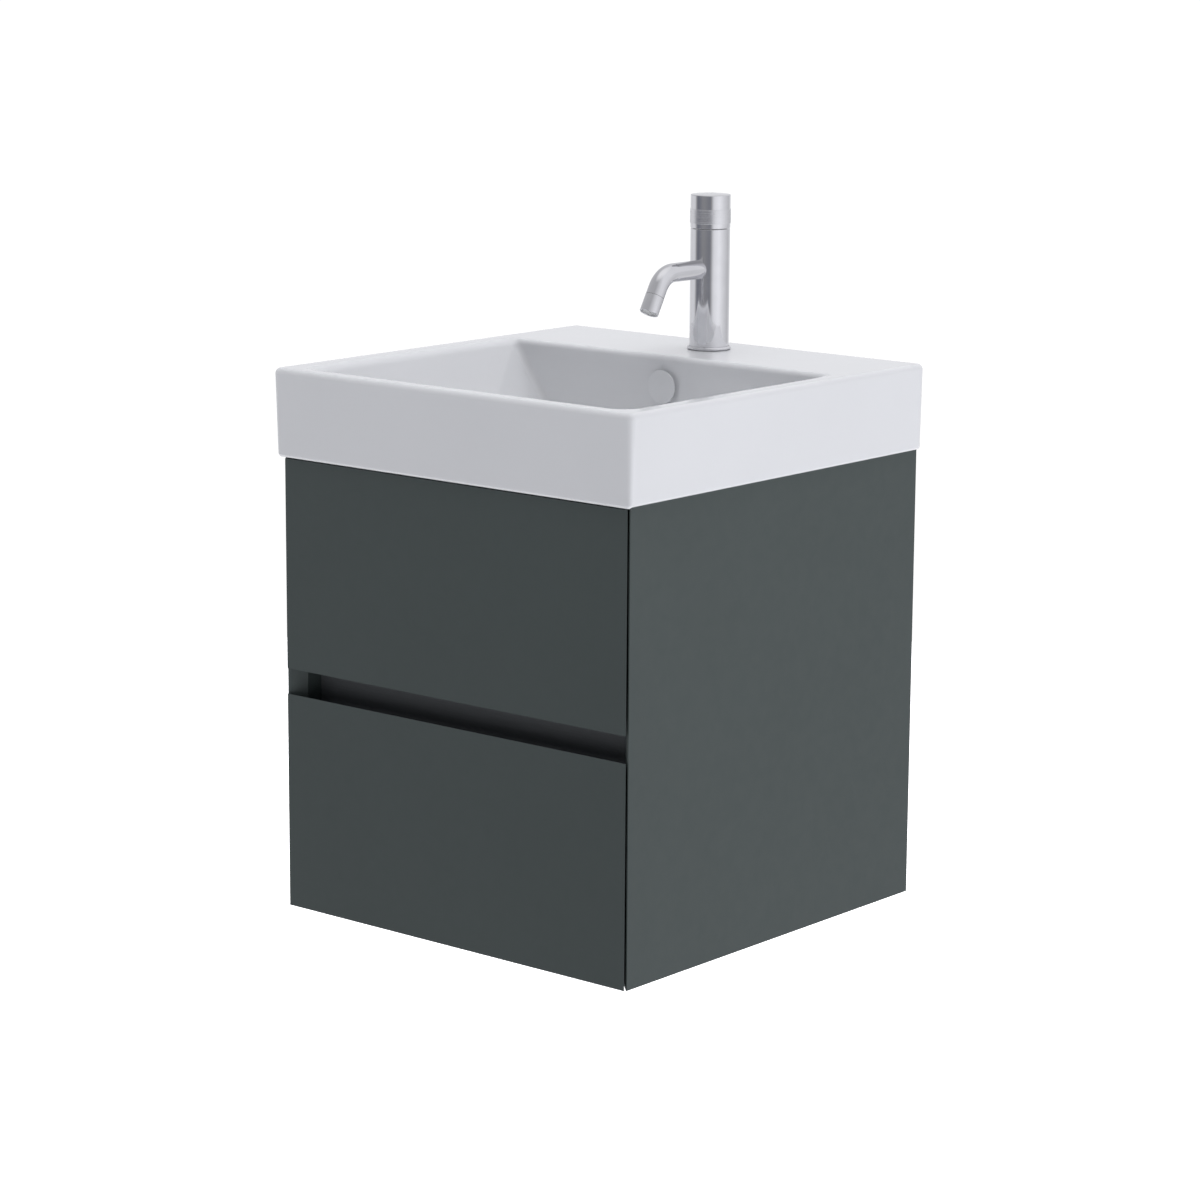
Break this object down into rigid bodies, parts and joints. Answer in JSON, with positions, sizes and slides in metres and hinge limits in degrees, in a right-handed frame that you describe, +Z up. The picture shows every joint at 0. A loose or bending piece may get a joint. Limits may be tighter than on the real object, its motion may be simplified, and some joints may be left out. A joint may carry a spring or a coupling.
{
  "type": "bathroom vanity cabinet",
  "caption": "Wall-hung bathroom vanity: lacquered cabinet with stacked soft-grip drawers under a ceramic basin with a mixer tap and bottle trap.",
  "frame": {"origin": "on the wall plane, at mid-width, level with the underside of the cabinet", "axes": "+Z up; the drawers face -Y; +Y points into the wall; +X to the right of someone facing the drawers"},
  "size_m": [0.4996, 0.4999, 0.768],
  "materials": {
    "slate_lacquer": "matt slate-grey lacquer on board",
    "carcase_board": "melamine-faced board",
    "drawer_board": "melamine-faced board",
    "black_anodised": "black satin anodised",
    "zinc_steel": "zinc-plated steel",
    "beech": "bare beech",
    "white_glaze": "gloss white glaze",
    "chrome": "polished chrome",
    "brass": "turned brass",
    "rubber": "moulded rubber",
    "white_plastic": "moulded polypropylene",
    "grey_plastic": "moulded plastic"
  },
  "bodies": {
    "cabinet": {"back_rail_lower": "carcase_board", "back_rail_upper": "carcase_board", "basin": "white_glaze", "bottom_panel": "carcase_board", "cabinet_hangers": "zinc_steel", "cabinet_rails": "zinc_steel", "carcase_dowels": "beech", "front_top_rail": "carcase_board", "grip_brackets": "zinc_steel", "grip_profile": "black_anodised", "hanger_hooks": "zinc_steel", "overflow_cover": "white_glaze", "side_panel_left": "slate_lacquer", "side_panel_right": "slate_lacquer", "tap_aerator": "chrome", "tap_base_ring": "chrome", "tap_body": "chrome", "tap_cartridge": "grey_plastic", "tap_cartridge_nut": "brass", "tap_clamp": "zinc_steel", "tap_clamp_nut": "brass", "tap_seal": "rubber", "tap_spout": "chrome", "tap_stud": "zinc_steel", "trap_body": "white_plastic", "trap_cup": "white_plastic", "trap_gland_nut": "white_plastic", "trap_inlet_tube": "white_plastic", "trap_outlet_nut": "white_plastic", "trap_outlet_pipe": "white_plastic", "trap_union_nut": "white_plastic", "wall_plates": "zinc_steel", "wall_rosette": "chrome", "waste_body": "brass", "waste_flange": "chrome", "waste_gasket": "rubber", "waste_nut": "brass"},
    "upper_drawer": {"upper_drawer_front": "slate_lacquer", "upper_box_front": "drawer_board", "upper_box_side_left": "drawer_board", "upper_box_side_right": "drawer_board", "upper_box_back": "drawer_board", "upper_box_base": "drawer_board", "upper_trap_surround": "grey_plastic", "upper_drawer_rails": "zinc_steel", "upper_front_screws": "zinc_steel"},
    "upper_middle_rails": {"upper_middle_rails": "zinc_steel"},
    "lower_drawer": {"lower_drawer_front": "slate_lacquer", "lower_box_front": "drawer_board", "lower_box_side_left": "drawer_board", "lower_box_side_right": "drawer_board", "lower_box_back": "drawer_board", "lower_box_base": "drawer_board", "lower_drawer_rails": "zinc_steel", "lower_front_screws": "zinc_steel"},
    "lower_middle_rails": {"lower_middle_rails": "zinc_steel"},
    "tap_knob": {"tap_knob": "chrome", "tap_spindle": "brass"},
    "waste_cap": {"waste_cap": "chrome", "waste_plunger": "brass"}
  },
  "joints": [
    {"name": "upper_drawer_slide", "type": "slide", "parent": "cabinet", "child": "upper_drawer", "axis": [0, -1, 0], "range_m": [0, 0.35]},
    {"name": "upper_middle_slide", "type": "slide", "parent": "cabinet", "child": "upper_middle_rails", "axis": [0, -1, 0], "range_m": [0, 0.175]},
    {"name": "lower_drawer_slide", "type": "slide", "parent": "cabinet", "child": "lower_drawer", "axis": [0, -1, 0], "range_m": [0, 0.38]},
    {"name": "lower_middle_slide", "type": "slide", "parent": "cabinet", "child": "lower_middle_rails", "axis": [0, -1, 0], "range_m": [0, 0.19]},
    {"name": "tap_knob_turn", "type": "hinge", "parent": "cabinet", "child": "tap_knob", "pos_m": [0, -0.0635, 0.75], "axis": [0, 0, 1], "range_deg": [0, 110]},
    {"name": "waste_cap_lift", "type": "slide", "parent": "cabinet", "child": "waste_cap", "axis": [0, 0, 1], "range_m": [0, 0.008]}
  ],
  "couplings": [
    {"joint": "upper_middle_slide", "follows": "upper_drawer_slide", "ratio": 0.5},
    {"joint": "lower_middle_slide", "follows": "lower_drawer_slide", "ratio": 0.5}
  ]
}
